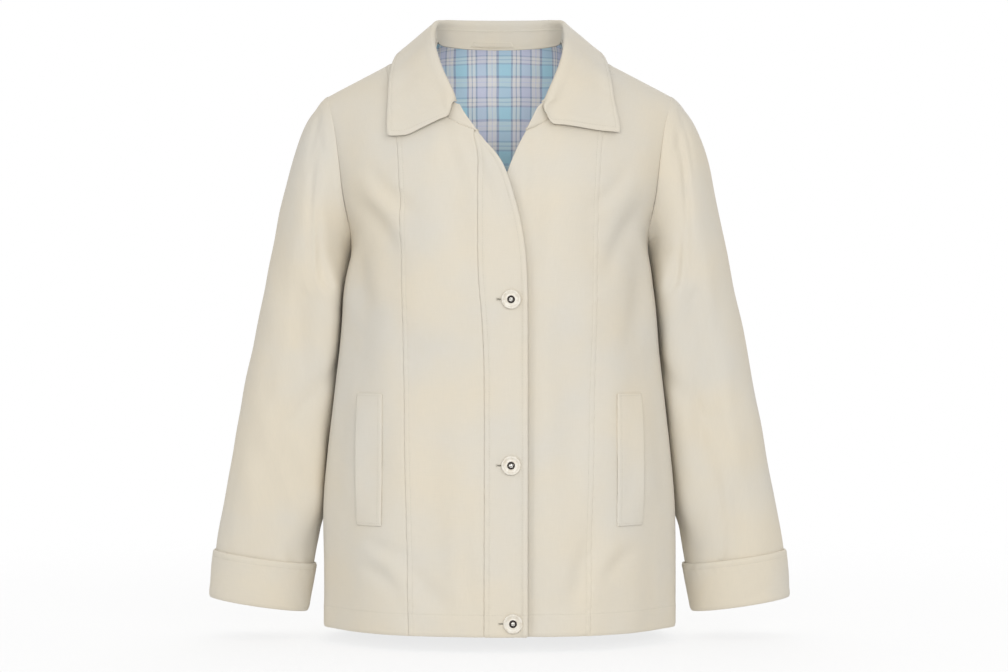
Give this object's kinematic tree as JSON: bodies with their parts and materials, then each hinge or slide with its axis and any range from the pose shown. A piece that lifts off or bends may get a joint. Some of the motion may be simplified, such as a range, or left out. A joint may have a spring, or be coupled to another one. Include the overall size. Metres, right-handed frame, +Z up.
{
  "type": "mid-length coat",
  "caption": "Light buttoned coat with a shirt collar, princess seams, welt pockets and turned-back cuffs, filled out as worn and hollow, open at the neck, hem and cuffs.",
  "frame": {"origin": "middle of the neck opening, level with the neck ends of the shoulder seams, where a wearer's shoulders hold the coat", "axes": "+Z up along the wearer's height; the front faces -Y; the wearer's left is at +X"},
  "size_m": [0.6994, 0.2866, 0.7335],
  "materials": {
    "shell_cloth": "smooth matte cotton and polyester weave",
    "check_lining": "soft woven check",
    "button_resin": "satin"
  },
  "bodies": {
    "root": {"front_centre_right": "shell_cloth", "front_side_right": "shell_cloth", "placket_right": "shell_cloth", "front_centre_left": "shell_cloth", "front_side_left": "shell_cloth", "back": "shell_cloth", "sleeve_right": "shell_cloth", "sleeve_left": "shell_cloth", "cuff_right": "shell_cloth", "cuff_left": "shell_cloth", "collar_stand": "shell_cloth", "collar_leaf": "shell_cloth", "pocket_welt_right": "shell_cloth", "pocket_welt_left": "shell_cloth", "hanger_loop": "shell_cloth", "lining_back": "check_lining", "button_top": "button_resin", "button_middle": "button_resin", "button_bottom": "button_resin"}
  },
  "joints": []
}
